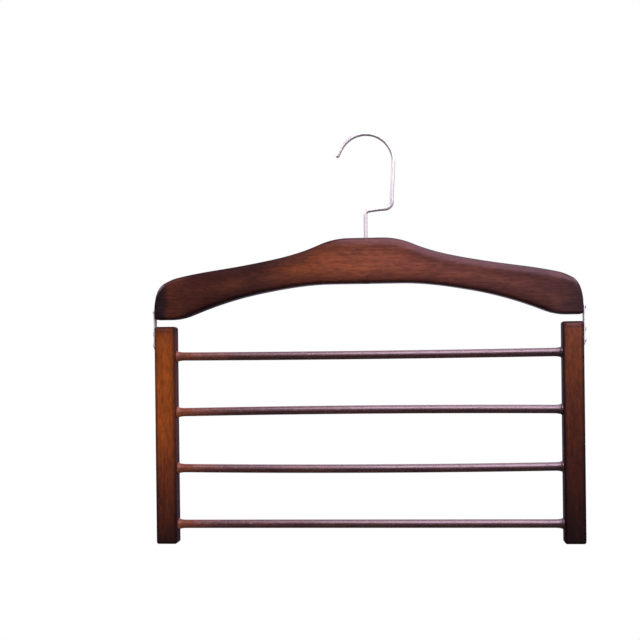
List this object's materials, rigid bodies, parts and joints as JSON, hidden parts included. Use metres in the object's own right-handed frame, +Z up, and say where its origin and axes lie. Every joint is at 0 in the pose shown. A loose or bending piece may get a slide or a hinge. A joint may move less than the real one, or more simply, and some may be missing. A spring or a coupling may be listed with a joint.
{
  "type": "tiered trouser hanger",
  "caption": "Dark stained wooden trouser hanger: a contoured yoke turns on a bent wire hook, and a ladder of round rails swings under it on link plates.",
  "frame": {"origin": "the point where the hook rests on a closet rail: the inner top of its arc, on the axis that the yoke turns about", "axes": "+X to the right as seen from the front, +Z up, and the front faces -Y"},
  "size_m": [0.4362, 0.02, 0.413],
  "materials": {
    "hook_metal": "satin nickel on round steel wire",
    "yoke_wood": "red-brown stain shaded to near black at the ends, satin lacquer",
    "stile_wood": "orange-brown stain shaded to near black at the edges and feet, satin lacquer",
    "rail_wood": "dark wine-brown stain, satin lacquer",
    "plate_metal": "bright plated steel strip",
    "screw_metal": "plated steel",
    "bush_brass": "turned"
  },
  "bodies": {
    "hook": {"hook": "hook_metal"},
    "yoke": {"yoke": "yoke_wood", "hook_bush": "bush_brass", "hook_washer": "screw_metal", "left_pivot_screw": "screw_metal", "right_pivot_screw": "screw_metal"},
    "ladder": {"left_stile": "stile_wood", "right_stile": "stile_wood", "rail_1": "rail_wood", "rail_2": "rail_wood", "rail_3": "rail_wood", "rail_4": "rail_wood", "left_plate": "plate_metal", "right_plate": "plate_metal", "left_upper_screw": "screw_metal", "left_lower_screw": "screw_metal", "right_upper_screw": "screw_metal", "right_lower_screw": "screw_metal"}
  },
  "joints": [
    {"name": "hook_swivel", "type": "hinge", "parent": "hook", "child": "yoke", "pos_m": [0, 0, -0.103], "axis": [0, 0, 1], "continuous": true},
    {"name": "ladder_swing", "type": "hinge", "parent": "yoke", "child": "ladder", "pos_m": [0, 0, -0.1747], "axis": [1, 0, 0], "range_deg": [-115, 115]}
  ]
}
